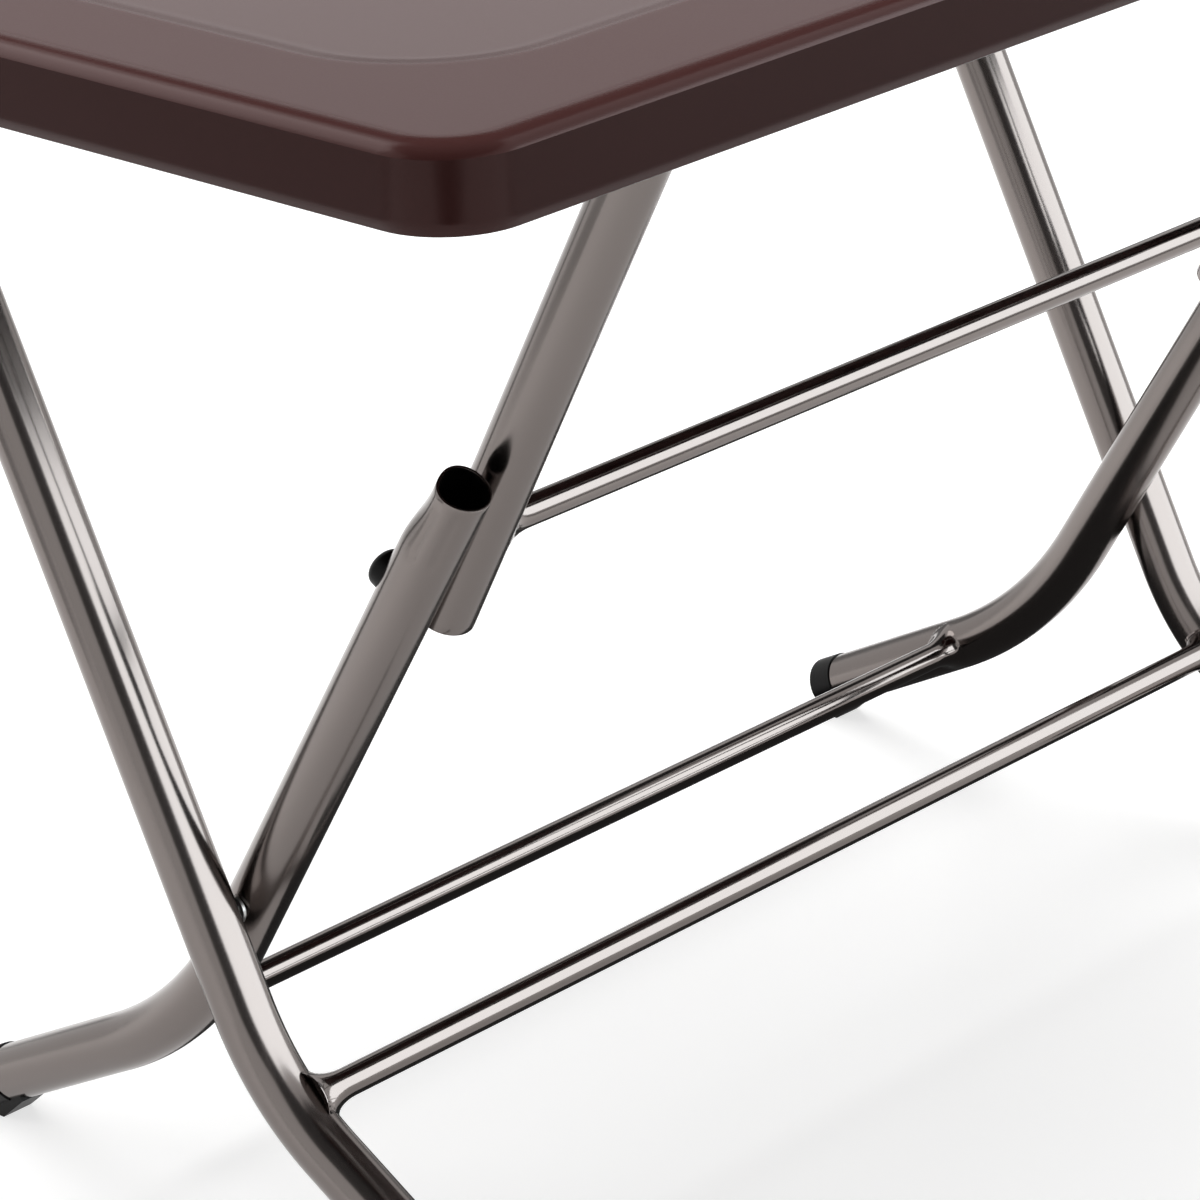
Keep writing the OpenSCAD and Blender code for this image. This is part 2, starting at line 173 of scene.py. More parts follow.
SEEN_WHITE = 1.0
FILL_LIGHT = 0.28
world = bpy.data.worlds.new("surround")
scene.world = world
world.use_nodes = True
sky = world.node_tree
sky.nodes.clear()
sky_out = sky.nodes.new("ShaderNodeOutputWorld")
sky_mix = sky.nodes.new("ShaderNodeMixShader")
sky_path = sky.nodes.new("ShaderNodeLightPath")
for slot, strength in ((1, FILL_LIGHT), (2, SEEN_WHITE)):
    background = sky.nodes.new("ShaderNodeBackground")
    background.inputs["Color"].default_value = (1, 1, 1, 1)
    background.inputs["Strength"].default_value = strength
    sky.links.new(background.outputs[0], sky_mix.inputs[slot])
seen_or_mirrored = larger(sky, sky_path.outputs["Is Camera Ray"], sky_path.outputs["Is Glossy Ray"])
sky.links.new(larger(sky, seen_or_mirrored, sky_path.outputs["Is Transmission Ray"]),
              sky_mix.inputs["Fac"])
sky.links.new(sky_mix.outputs[0], sky_out.inputs["Surface"])

# %% Soft lamps


def soft_lamp(name, place, target, size, watts):
    """A square softbox that points at target. Reflections see the cards in its place."""
    data = bpy.data.lights.new(name, "AREA")
    data.shape = "SQUARE"
    data.size = size
    data.energy = watts
    lamp = bpy.data.objects.new(name, data)
    scene.collection.objects.link(lamp)
    lamp.location = place
    lamp.rotation_euler = (Vector(target) - Vector(place)).to_track_quat("-Z", "Y").to_euler()
    lamp.visible_glossy = False


soft_lamp("lamp_overhead", (-0.7, 0.8, 3.4), (0, 0, 0.5), 3.4, 165)
soft_lamp("lamp_left", (-2.4, -1.6, 3.0), (0, 0, 0.5), 2.4, 30)

# %% Cards for the reflections
CARD_RADIUS = 7.0
CARD_CENTRE_Z = 0.4
CARD_STEPS = 24
CARD_LIFT = 0.002


def glow_card(name, verts, faces, strength, colour):
    """A glowing surface that only reflections see."""
    mesh = bpy.data.meshes.new(name)
    mesh.from_pydata(verts, [], faces)
    card = bpy.data.objects.new(name, mesh)
    scene.collection.objects.link(card)
    material = bpy.data.materials.new(name)
    card_tree, card_out = nodes_of(material)
    glow = card_tree.nodes.new("ShaderNodeEmission")
    glow.inputs["Color"].default_value = (*colour, 1)
    glow.inputs["Strength"].default_value = strength
    card_tree.links.new(glow.outputs[0], card_out.inputs["Surface"])
    mesh.materials.append(material)
    card.visible_camera = False
    card.visible_diffuse = False
    card.visible_shadow = False
    card.visible_transmission = False


def sky_patch(name, azimuths, elevations, strength, colour=(1, 1, 1)):
    """A patch of a ball round the table. Angles are in degrees."""
    row = CARD_STEPS + 1
    az = np.radians(np.linspace(azimuths[0], azimuths[1], row))
    el = np.radians(np.linspace(elevations[0], elevations[1], row))
    verts = [(CARD_RADIUS * math.cos(e) * math.cos(a), CARD_RADIUS * math.cos(e) * math.sin(a),
              CARD_CENTRE_Z + CARD_RADIUS * math.sin(e)) for e in el for a in az]
    faces = [(j * row + i, j * row + i + 1, (j + 1) * row + i + 1, (j + 1) * row + i)
             for j in range(CARD_STEPS) for i in range(CARD_STEPS)]
    glow_card(name, verts, faces, strength, colour)


def floor_patch(name, x_range, y_range, strength):
    """A flat patch just above the floor, between two X values and two Y values in metres."""
    verts = [(x, y, CARD_LIFT) for y in y_range for x in x_range]
    glow_card(name, verts, [(0, 1, 3, 2)], strength, (1, 1, 1))


sky_patch("card_ceiling", (0, 360), (58, 90), 0.05)
sky_patch("card_behind", (100, 160), (31, 58), 0.06)
sky_patch("card_front", (-110, -28), (30, 58), 0.10)
sky_patch("card_beside_window", (-60, -26), (-3, 29), 0.12)
sky_patch("card_window", (-24, 70), (-3, 43), 4.6, (0.93, 1.0, 1.03))
sky_patch("card_left", (170, 215), (33, 56), 2.6)
sky_patch("card_horizon", (95, 168), (0, 12), 0.3)
floor_patch("card_floor_left", (-2.6, -0.6), (-3.2, -1.4), 0.6)
floor_patch("card_floor_right", (1.1, 2.4), (0.3, 2.6), 0.6)
floor_patch("card_floor_front", (1.3, 2.4), (-2.7, -1.5), 0.02)
# The dim cards below the two foot bars are painted shade: they stand in for the shaded floor under the
# table, which the bars' lower edges reflect.
BAR_CARD_REAR = 0.12
BAR_CARD_FRONT = 0.055
BAR_CARD_Y = (-0.30, 0.45)
BAR_CARD_GLOW = 0.05
for bar_node in ("rear_foot_bar", "front_foot_bar"):
    bar_low, bar_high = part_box(bar_node)
    floor_patch("card_below_" + bar_node, (bar_low[0] - BAR_CARD_REAR, bar_high[0] + BAR_CARD_FRONT),
                BAR_CARD_Y, BAR_CARD_GLOW)

# %% [markdown]
# ## Finishes
# Four finishes cover the whole table: the brown plastic of the top, the bright plating of the tubes,
# the zinc of the hidden steel and the black plastic of caps and blocks. What several of them share is
# built once as a node group and placed in each with its own values.

# %% A group for uneven surfaces


def new_group(name, inputs, outputs):
    """An empty shader group with float inputs (name, default) and the named outputs."""
    group = bpy.data.node_groups.new(name, "ShaderNodeTree")
    for label, default in inputs:
        socket = group.interface.new_socket(label, in_out="INPUT", socket_type="NodeSocketFloat")
        socket.default_value = default
    for label in outputs:
        group.interface.new_socket(label, in_out="OUTPUT", socket_type="NodeSocketFloat")
    return group, group.nodes.new("NodeGroupInput"), group.nodes.new("NodeGroupOutput")


uneven, uneven_in, uneven_out = new_group(
    "uneven_surface", [("Broad scale", 6.0), ("Fine scale", 300.0), ("Detail", 3.0)],
    ["Broad", "Fine", "Both"])
where = uneven.nodes.new("ShaderNodeTexCoord")
broad = uneven.nodes.new("ShaderNodeTexNoise")
fine = uneven.nodes.new("ShaderNodeTexNoise")
both = uneven.nodes.new("ShaderNodeMath")
both.operation = "MULTIPLY"
for noise, label in ((broad, "Broad scale"), (fine, "Fine scale")):
    uneven.links.new(where.outputs["Object"], noise.inputs["Vector"])
    uneven.links.new(uneven_in.outputs[label], noise.inputs["Scale"])
    uneven.links.new(uneven_in.outputs["Detail"], noise.inputs["Detail"])
uneven.links.new(broad.outputs["Fac"], both.inputs[0])
uneven.links.new(fine.outputs["Fac"], both.inputs[1])
uneven.links.new(broad.outputs["Fac"], uneven_out.inputs["Broad"])
uneven.links.new(fine.outputs["Fac"], uneven_out.inputs["Fine"])
uneven.links.new(both.outputs[0], uneven_out.inputs["Both"])

# %% Materials


def spread(tree, source, low, high):
    """Maps a 0 to 1 mask to the range low to high."""
    node = tree.nodes.new("ShaderNodeMapRange")
    node.inputs["To Min"].default_value = low
    node.inputs["To Max"].default_value = high
    tree.links.new(source, node.inputs["Value"])
    return node.outputs["Result"]


def bump(tree, height, strength, distance, below=None):
    """A Bump node on top of another normal."""
    node = tree.nodes.new("ShaderNodeBump")
    node.inputs["Strength"].default_value = strength
    node.inputs["Distance"].default_value = distance
    tree.links.new(height, node.inputs["Height"])
    if below is not None:
        tree.links.new(below, node.inputs["Normal"])
    return node.outputs["Normal"]


def surface(name, colours, rough, metallic, specular, scales, bumps):
    """A Principled material whose colour and roughness drift a little over the surface."""
    material = bpy.data.materials.new(name)
    tree, output = nodes_of(material)
    shader = tree.nodes.new("ShaderNodeBsdfPrincipled")
    shader.name = "finish"
    group = tree.nodes.new("ShaderNodeGroup")
    group.node_tree = uneven
    group.inputs["Broad scale"].default_value = scales[0]
    group.inputs["Fine scale"].default_value = scales[1]
    ramp = tree.nodes.new("ShaderNodeMix")
    ramp.data_type = "RGBA"
    ramp.inputs["A"].default_value = (*colours[0], 1)
    ramp.inputs["B"].default_value = (*colours[1], 1)
    tree.links.new(group.outputs["Broad"], ramp.inputs["Factor"])
    tree.links.new(ramp.outputs["Result"], shader.inputs["Base Color"])
    tree.links.new(spread(tree, group.outputs["Both"], rough[0], rough[1]), shader.inputs["Roughness"])
    shader.inputs["Metallic"].default_value = metallic
    shader.inputs["Specular IOR Level"].default_value = specular
    normal = None
    for output_name, strength, distance in bumps:
        normal = bump(tree, group.outputs[output_name], strength, distance, normal)
    tree.links.new(normal, shader.inputs["Normal"])
    tree.links.new(shader.outputs[0], output.inputs["Surface"])
    return material


brown_plastic = surface("brown_plastic", ((0.046, 0.0150, 0.0140), (0.055, 0.0182, 0.0168)),
                        (0.30, 0.40), 0.0, 0.22, (3.0, 900.0), [("Fine", 0.08, 0.0003)])
plated_steel = surface("plated_steel", ((0.178, 0.156, 0.147), (0.194, 0.170, 0.161)),
                       (0.10, 0.20), 1.0, 0.5, (9.0, 700.0), [("Broad", 0.25, 0.0012)])
zinc_steel = surface("zinc_steel", ((0.42, 0.42, 0.42), (0.50, 0.49, 0.47)),
                     (0.28, 0.45), 1.0, 0.5, (14.0, 500.0), [("Fine", 0.15, 0.0002)])
black_plastic = surface("black_plastic", ((0.0030, 0.0027, 0.0028), (0.0055, 0.0048, 0.0048)),
                        (0.38, 0.55), 0.0, 0.14, (12.0, 900.0), [("Fine", 0.25, 0.0003)])

# %% [markdown]
# Two finishes need a pattern that a box of noise can't give. The sunk panel and the rim of the top are
# smoother than the flat border, as polished faces in the mould leave them. And the tubes were drawn
# through a die, so they are duller than the thin bars and carry fine lines, also round the bends.
# So the pieces hold attributes: a mask that shifts the roughness, and a place round and along a tube,
# which the noise of the lines is read from.

# %% Polish masks and drawn lines
POLISH = -0.13
DRAWN_ROUGHER = 0.06
DRAWN_STRETCH = 0.02
DRAWN_DETAIL = 2.0
RED_SHEEN = (1, 0.72, 0.70, 1)


def shift_roughness(material, attribute, amount):
    """Adds amount to the roughness where the attribute is 1."""
    tree = material.node_tree
    shader = tree.nodes["finish"]
    mask = tree.nodes.new("ShaderNodeAttribute")
    mask.attribute_name = attribute
    change = tree.nodes.new("ShaderNodeMath")
    change.operation = "MULTIPLY_ADD"
    change.inputs[1].default_value = amount
    tree.links.new(mask.outputs["Fac"], change.inputs[0])
    tree.links.new(shader.inputs["Roughness"].links[0].from_socket, change.inputs[2])
    tree.links.new(change.outputs[0], shader.inputs["Roughness"])


def add_drawn_lines(material, scale, strength, distance):
    """Adds fine lines along a tube or bar, from the attribute tube_place."""
    tree = material.node_tree
    shader = tree.nodes["finish"]
    place = tree.nodes.new("ShaderNodeAttribute")
    place.attribute_name = "tube_place"
    stretched = tree.nodes.new("ShaderNodeMapping")
    stretched.inputs["Scale"].default_value = (1, 1, DRAWN_STRETCH)
    lines = tree.nodes.new("ShaderNodeTexNoise")
    lines.inputs["Scale"].default_value = scale
    lines.inputs["Detail"].default_value = DRAWN_DETAIL
    tree.links.new(place.outputs["Vector"], stretched.inputs["Vector"])
    tree.links.new(stretched.outputs[0], lines.inputs["Vector"])
    below = shader.inputs["Normal"].links[0].from_socket
    tree.links.new(bump(tree, lines.outputs["Fac"], strength, distance, below),
                   shader.inputs["Normal"])


def mark(piece, attribute, values):
    """Stores one number per point of a piece."""
    stored = piece.data.attributes.new(attribute, "FLOAT", "POINT")
    stored.data.foreach_set("value", values)


brown_plastic.node_tree.nodes["finish"].inputs["Specular Tint"].default_value = RED_SHEEN
shift_roughness(brown_plastic, "polish", POLISH)
shift_roughness(plated_steel, "drawn", DRAWN_ROUGHER)
add_drawn_lines(plated_steel, 900.0, 0.05, 0.0002)
FINISH = {"brown_plastic": brown_plastic, "plated_steel": plated_steel,
          "zinc_steel": zinc_steel, "black_plastic": black_plastic}

# %% Finishes for the carried-over nodes
for entry in frame["record"]["subparts"]:
    node = frame["nodes"][entry["node"]]
    node.data.materials.clear()
    node.data.materials.append(FINISH[entry["material_slot"]])

# %% [markdown]
# ## From points to a finished piece
# Every piece made here ends the same way. Its mesh gets its finish, its smooth and its sharp edges,
# and the name of the body that it moves with. One helper does that for all of them. A second one joins
# rings of points with four-sided faces: the moulded top, the bars and the domes are stacks of rings.

# %% Finish a piece


def finish_piece(piece, body, slot, replaced=(), sharp=30):
    """Gives a piece its material, edges and body, and hides the CAD nodes that it stands for."""
    piece.data.materials.clear()
    piece.data.materials.append(FINISH[slot])
    piece.data.shade_smooth()
    piece.data.set_sharp_from_angle(angle=math.radians(sharp))
    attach(piece, body)
    if replaced:
        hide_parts(*replaced)


def mesh_object(name, verts, faces):
    """A new object from points and faces, with its faces turned outwards."""
    mesh = bpy.data.meshes.new(name)
    mesh.from_pydata([tuple(point) for point in verts], [], faces)
    work = bmesh.new()
    work.from_mesh(mesh)
    bmesh.ops.recalc_face_normals(work, faces=work.faces)
    work.to_mesh(mesh)
    work.free()
    piece = bpy.data.objects.new(name, mesh)
    scene.collection.objects.link(piece)
    return piece


def rings_to_mesh(name, rings):
    """Joins closed rings of equal length into one skin and closes both ends."""
    count = len(rings[0])
    verts = [point for ring in rings for point in ring]
    faces = []
    for row in range(len(rings) - 1):
        for i in range(count):
            a = row * count + i
            b = row * count + (i + 1) % count
            faces.append((a, b, b + count, a + count))
    faces.append(tuple(range(count)))
    last = (len(rings) - 1) * count
    faces.append(tuple(range(last, last + count)))
    return mesh_object(name, verts, faces)


def apply_modifiers(piece):
    """Turns a piece with modifiers into the plain mesh that they make."""
    graph = bpy.context.evaluated_depsgraph_get()
    mesh = bpy.data.meshes.new_from_object(piece.evaluated_get(graph),
                                           preserve_all_data_layers=True, depsgraph=graph)
    piece.modifiers.clear()
    piece.data = mesh
    return piece


def report(piece):
    """Prints how large a piece's mesh is and whether it is closed."""
    work = bmesh.new()
    work.from_mesh(piece.data)
    open_edges = sum(1 for edge in work.edges if not edge.is_manifold)
    volume = work.calc_volume(signed=True)
    print(piece.name, len(work.faces), "faces,", open_edges, "open edges,",
          round(volume * 1e6, 2), "cm3")
    work.free()


# %% [markdown]
# ## The moulded top
# The real top is one injection moulding: a panel, a skirt round it and ribs below. Its look lives in
# the rim. There is a crisp crease where the flat skirt ends, then a rounded shoulder rolls over to the
# flat border, and inside that the panel lies a little lower with a soft step round it. A box with a
# bevel can't give that section, so the shell is swept: one section, drawn once as inset and height,
# becomes a stack of rounded rectangles.

# %% Section of the top
CORNER_R = 0.042
SKIRT_T = 0.004
PANEL_T = 0.006
RECESS = 0.0014
RECESS_R = 0.085
SIDE_BORDER = 0.076
END_BORDER = 0.066
STEP_W = 0.018
SHOULDER_START = math.radians(38)
SHOULDER_R = 0.014
SHOULDER_OPENS = 0.022
SHOULDER_STEPS = 16
APRON_DROP = 0.0025
LIP_R = 0.0010
DRAFT = 0.0012
DRAFT_H = 0.006
DRAFT_STEPS = 6
LIP_STEPS = 4
BORDER_START = 0.0006
INNER_RING = 0.002
SKIRT_Z = APRON_Z - APRON_DROP
PANEL_UNDER = TOP_Z - RECESS - PANEL_T


def arc(centre, radius, start, end, steps):
    """Points (inset, height) along an arc. Angles run from the outward direction upwards."""
    points = []
    for step in range(steps + 1):
        angle = start + (end - start) * step / steps
        points.append((centre[0] - radius * math.cos(angle), centre[1] + radius * math.sin(angle)))
    return points


QUARTER = math.pi / 2
shoulder = [(0, 0)]
for step in range(SHOULDER_STEPS):
    share = (step + 0.5) / SHOULDER_STEPS
    slope = SHOULDER_START + (QUARTER - SHOULDER_START) * share
    length = (SHOULDER_R + SHOULDER_OPENS * share ** 3) * (QUARTER - SHOULDER_START) / SHOULDER_STEPS
    inset, height = shoulder[-1]
    shoulder.append((inset + length * math.sin(slope), height + length * math.cos(slope)))
crease_z = TOP_Z - shoulder[-1][1]
skirt = [(SKIRT_T, PANEL_UNDER)]
skirt += arc((SKIRT_T - LIP_R, SKIRT_Z + LIP_R), LIP_R, -2 * QUARTER, -QUARTER, LIP_STEPS)
skirt += arc((DRAFT + LIP_R, SKIRT_Z + LIP_R), LIP_R, -QUARTER, 0, LIP_STEPS)
for step in range(1, DRAFT_STEPS):
    share = step / DRAFT_STEPS
    skirt.append((DRAFT * (1 - share) ** 2, SKIRT_Z + LIP_R + DRAFT_H * share))
skirt.append((0, SKIRT_Z + LIP_R + DRAFT_H))
skirt += [(inset, crease_z + height) for inset, height in shoulder]
skirt.append((shoulder[-1][0] + BORDER_START, TOP_Z))
print("shoulder:", round(1000 * shoulder[-1][0], 1), "mm wide, crease at", round(crease_z, 4))

# %% Rings of the top
CORNER_STEPS = 16


def rounded_ring(half_x, half_y, radius, z):
    """A rounded rectangle of points at height z, counter-clockwise seen from above."""
    points = []
    for quadrant, (sx, sy) in enumerate(((1, 1), (-1, 1), (-1, -1), (1, -1))):
        for step in range(CORNER_STEPS + 1):
            angle = QUARTER * (quadrant + step / CORNER_STEPS)
            points.append((sx * (half_x - radius) + radius * math.cos(angle),
                           sy * (half_y - radius) + radius * math.sin(angle), z))
    return points


rings = [rounded_ring(HALF_LEN - SKIRT_T - INNER_RING, HALF_WID - SKIRT_T - INNER_RING,
                      CORNER_R - SKIRT_T - INNER_RING, PANEL_UNDER)]
for inset, height in skirt:
    rings.append(rounded_ring(HALF_LEN - inset, HALF_WID - inset, CORNER_R - inset, height))
STEP_COUNT = 8
for step in range(-1, STEP_COUNT + 2):
    share = min(1, max(0, step / STEP_COUNT))
    inward = STEP_W * step / STEP_COUNT
    drop = RECESS * (0.5 - 0.5 * math.cos(math.pi * share))
    rings.append(rounded_ring(HALF_LEN - SIDE_BORDER - inward, HALF_WID - END_BORDER - inward,
                              RECESS_R - inward, TOP_Z - drop))
top_shell = rings_to_mesh("top_shell", rings)
BELOW_BORDER = 0.0002
polished = [1.0 if vert.co.z < TOP_Z - BELOW_BORDER else 0.0 for vert in top_shell.data.vertices]
mark(top_shell, "polish", polished)
finish_piece(top_shell, "top", "brown_plastic", ("table_top",))
report(top_shell)

# %% [markdown]
# ## Geometry Nodes: one tree, many copies
# Three jobs below are left to Geometry Nodes, because each is a rule and not a shape: a grid of ribs,
# a row of bosses, and a tube that follows a path. A tree is built in the script with named inputs for
# its sizes. A modifier runs it, the result is kept as a plain mesh, and the modifier goes.

# %% Helpers for trees


def geometry_tree(name, inputs):
    """An empty tree with a geometry input, the named inputs (name, socket type) and one output."""
    tree = bpy.data.node_groups.new(name, "GeometryNodeTree")
    tree.interface.new_socket("Geometry", in_out="INPUT", socket_type="NodeSocketGeometry")
    for label, kind in inputs:
        tree.interface.new_socket(label, in_out="INPUT", socket_type=kind)
    tree.interface.new_socket("Geometry", in_out="OUTPUT", socket_type="NodeSocketGeometry")
    return tree, tree.nodes.new("NodeGroupInput"), tree.nodes.new("NodeGroupOutput")


def add_node(tree, kind, links=(), **settings):
    """Adds a node, sets its properties and links the given outputs to its inputs by name."""
    node = tree.nodes.new(kind)
    for key, value in settings.items():
        setattr(node, key, value)
    for label, source in links:
        tree.links.new(source, node.inputs[label])
    return node


def close_tree(tree, source, material_source, output):
    """Ends a tree: real geometry in place of instances, and one material on it."""
    real = add_node(tree, "GeometryNodeRealizeInstances", [("Geometry", source)])
    coated = add_node(tree, "GeometryNodeSetMaterial",
                      [("Geometry", real.outputs[0]), ("Material", material_source)])
    tree.links.new(coated.outputs[0], output.inputs["Geometry"])


def run_tree(name, start, tree, values):
    """Runs a tree on the points and edges of start and keeps the result as a plain mesh."""
    points, edges = start
    mesh = bpy.data.meshes.new(name)
    mesh.from_pydata([tuple(point) for point in points], edges, [])
    piece = bpy.data.objects.new(name, mesh)
    modifier = piece.modifiers.new("tree", "NODES")
    modifier.node_group = tree
    for item in tree.interface.items_tree:
        if item.item_type == "SOCKET" and item.in_out == "INPUT" and item.name in values:
            modifier[item.identifier] = values[item.name]
    scene.collection.objects.link(piece)
    return apply_modifiers(piece)


# %% [markdown]
# The underside has a grid of ribs that stiffens the panel, and round bosses that the rails are screwed
# to. A rib is a thin block and a boss is a short cylinder. Each has a tree of its own, which takes
# the points that the copies stand on and the size of one copy.

# %% Tree for blocks and bosses on points
block_tree, block_in, block_out = geometry_tree(
    "blocks_on_points", [("Size", "NodeSocketVector"), ("Material", "NodeSocketMaterial")])
block = add_node(block_tree, "GeometryNodeMeshCube", [("Size", block_in.outputs["Size"])])
placed = add_node(block_tree, "GeometryNodeInstanceOnPoints",
                  [("Points", block_in.outputs["Geometry"]), ("Instance", block.outputs["Mesh"])])
close_tree(block_tree, placed.outputs[0], block_in.outputs["Material"], block_out)

BOSS_SIDES = 40
boss_tree, boss_in, boss_out = geometry_tree(
    "bosses_on_points", [("Radius", "NodeSocketFloat"), ("Height", "NodeSocketFloat"),
                         ("Material", "NodeSocketMaterial")])
boss = add_node(boss_tree, "GeometryNodeMeshCylinder",
                [("Radius", boss_in.outputs["Radius"]), ("Depth", boss_in.outputs["Height"])])
boss.inputs["Vertices"].default_value = BOSS_SIDES
placed = add_node(boss_tree, "GeometryNodeInstanceOnPoints",
                  [("Points", boss_in.outputs["Geometry"]), ("Instance", boss.outputs["Mesh"])])
close_tree(boss_tree, placed.outputs[0], boss_in.outputs["Material"], boss_out)

# %% Ribs and bosses under the panel
RIB_T = 0.003
POCKETS_X = 7
POCKETS_Y = 11
BOSS_R = 0.008
BOSS_Y = (-0.390, -0.130, 0.130, 0.390)
RIB_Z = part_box("front_rail")[1][2]
SINK = 0.0005
rib_height = PANEL_UNDER - RIB_Z + SINK
rib_mid = RIB_Z + rib_height / 2
inner_x = 2 * (HALF_LEN - SKIRT_T)
inner_y = 2 * (HALF_WID - SKIRT_T)


def rib_places(length, pockets):
    """Middles of the ribs between equal pockets along one direction."""
    pitch = (length + RIB_T) / pockets
    return [-length / 2 - RIB_T / 2 + (i + 1) * pitch for i in range(pockets - 1)]


def middle_of(node):
    """The middle of a CAD node in X and Z. All that it is used for is centred on Y = 0."""
    low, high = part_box(node)
    return Vector(((low[0] + high[0]) / 2, 0, (low[2] + high[2]) / 2))


ribs_along_y = run_tree("ribs_along_y", ([(x, 0, rib_mid) for x in rib_places(inner_x, POCKETS_X)], []),
                        block_tree, {"Size": (RIB_T, inner_y + 2 * SINK, rib_height),
                                     "Material": brown_plastic})
ribs_along_x = run_tree("ribs_along_x", ([(0, y, rib_mid) for y in rib_places(inner_y, POCKETS_Y)], []),
                        block_tree, {"Size": (inner_x + 2 * SINK, RIB_T, rib_height),
                                     "Material": brown_plastic})
rail_middles = [middle_of(name).x for name in ("rear_rail", "front_rail")]
rail_bosses = run_tree("rail_bosses", ([(x, y, rib_mid) for x in rail_middles for y in BOSS_Y], []),
                       boss_tree, {"Radius": BOSS_R, "Height": rib_height,
                                   "Material": brown_plastic})
for piece in (ribs_along_y, ribs_along_x, rail_bosses):
    finish_piece(piece, "top", "brown_plastic")
    report(piece)

# %% [markdown]
# ## Tubes
# All six tubes are the same thing: a round section that follows a path in one upright plane. The
# upper tubes are straight. The lower tubes and the outer legs are bent once, so their path is a
# straight, an arc and a straight. The tree below turns a path into a tube. It also stores where each
# point lies round and along the tube, so that the fine lines of the drawn steel can follow the bends.

# %% Tree for a tube along a path
TUBE_SIDES = 56
tube_tree, tube_in, tube_out = geometry_tree(
    "tube_along_path", [("Radius", "NodeSocketFloat"), ("Sides", "NodeSocketInt"),
                        ("Material", "NodeSocketMaterial")])
path = add_node(tube_tree, "GeometryNodeMeshToCurve", [("Mesh", tube_in.outputs["Geometry"])])
path_place = add_node(tube_tree, "GeometryNodeSplineParameter")
path_marked = add_node(tube_tree, "GeometryNodeStoreNamedAttribute",
                       [("Geometry", path.outputs[0]), ("Value", path_place.outputs["Length"])],
                       data_type="FLOAT", domain="POINT")
path_marked.inputs["Name"].default_value = "along"
circle = add_node(tube_tree, "GeometryNodeCurvePrimitiveCircle",
                  [("Resolution", tube_in.outputs["Sides"]), ("Radius", tube_in.outputs["Radius"])])
circle_place = add_node(tube_tree, "GeometryNodeSplineParameter")
circle_marked = add_node(tube_tree, "GeometryNodeStoreNamedAttribute",
                         [("Geometry", circle.outputs["Curve"]),
                          ("Value", circle_place.outputs["Factor"])],
                         data_type="FLOAT", domain="POINT")
circle_marked.inputs["Name"].default_value = "around"
swept = add_node(tube_tree, "GeometryNodeCurveToMesh",
                 [("Curve", path_marked.outputs[0]), ("Profile Curve", circle_marked.outputs[0])])
along = add_node(tube_tree, "GeometryNodeInputNamedAttribute", data_type="FLOAT")
along.inputs["Name"].default_value = "along"
around = add_node(tube_tree, "GeometryNodeInputNamedAttribute", data_type="FLOAT")
around.inputs["Name"].default_value = "around"
turned = add_node(tube_tree, "ShaderNodeMath", [(0, around.outputs["Attribute"])],
                  operation="MULTIPLY")
turned.inputs[1].default_value = 2 * math.pi
place = add_node(tube_tree, "ShaderNodeCombineXYZ")
for operation, axis in (("COSINE", "X"), ("SINE", "Y")):
    wave = add_node(tube_tree, "ShaderNodeMath", [(0, turned.outputs[0])], operation=operation)
    sized = add_node(tube_tree, "ShaderNodeMath", [(0, wave.outputs[0]),
                                                   (1, tube_in.outputs["Radius"])],
                     operation="MULTIPLY")
    tube_tree.links.new(sized.outputs[0], place.inputs[axis])
tube_tree.links.new(along.outputs["Attribute"], place.inputs["Z"])
marked = add_node(tube_tree, "GeometryNodeStoreNamedAttribute",
                  [("Geometry", swept.outputs[0]), ("Value", place.outputs[0])],
                  data_type="FLOAT_VECTOR", domain="POINT")
marked.inputs["Name"].default_value = "tube_place"
close_tree(tube_tree, marked.outputs[0], tube_in.outputs["Material"], tube_out)

# %% Paths of the tubes
TUBE_OVER = 0.014
UPPER_BELOW = 0.057
LOWER_ABOVE = 0.045
OUTER_FOOT = math.radians(30)
LOWER_FOOT = math.radians(27.6)
OUTER_LEG = {"up": (middle_of("rear_rod") - CROSS).length + TUBE_OVER,
             "run": 0.048, "bend": 0.150, "turn": OUTER_LEAN - OUTER_FOOT, "toe": 0.135}
LOWER_TUBE = {"up": (KNEE - CROSS).length + LOWER_ABOVE,
              "run": 0.032, "bend": 0.248, "turn": LOWER_LEAN - LOWER_FOOT, "toe": 0.1195}
upper_up = (middle_of("upper_hinge_rod") - KNEE).length + TUBE_OVER
PATH_STEP = 0.003
BEND_STEPS = 40
TOE_STEPS = 30
UPPER_STEPS = 60
print("lengths above the pivots:", [round(value, 4) for value in
                                    (OUTER_LEG["up"], LOWER_TUBE["up"], upper_up)])


def bent_path(up, run, bend, turn, toe):
    """Points (side, along) of a leg, from its top end to its toe. The side is where it bends to."""
    count = round((up + run) / PATH_STEP)
    points = [(0, up - (up + run) * i / count) for i in range(count)]
    for angle in [turn * i / BEND_STEPS for i in range(BEND_STEPS + 1)]:
        points.append((bend * (1 - math.cos(angle)), -run - bend * math.sin(angle)))
    last = points[-1]
    for distance in [toe * i / TOE_STEPS for i in range(1, TOE_STEPS + 1)]:
        points.append((last[0] + distance * math.sin(turn), last[1] - distance * math.cos(turn)))
    return points


def stand_up(points, origin, lean, mirrored, y):
    """Places a leg's points: its along direction leans from the horizontal, its side turns to X."""
    facing = 1 if mirrored else -1
    along_leg = Vector((facing * math.cos(lean), 0, math.sin(lean)))
    side = Vector((-facing * math.sin(lean), 0, math.cos(lean)))
    return [origin + side * p[0] + along_leg * p[1] + Vector((0, y, 0)) for p in points]


# %% Sweep the tubes
TURN_CHECK_FACES = 200
LIP_ROUND = 0.0003
LIP_SEGMENTS = 2
LIP_ANGLE = math.radians(60)


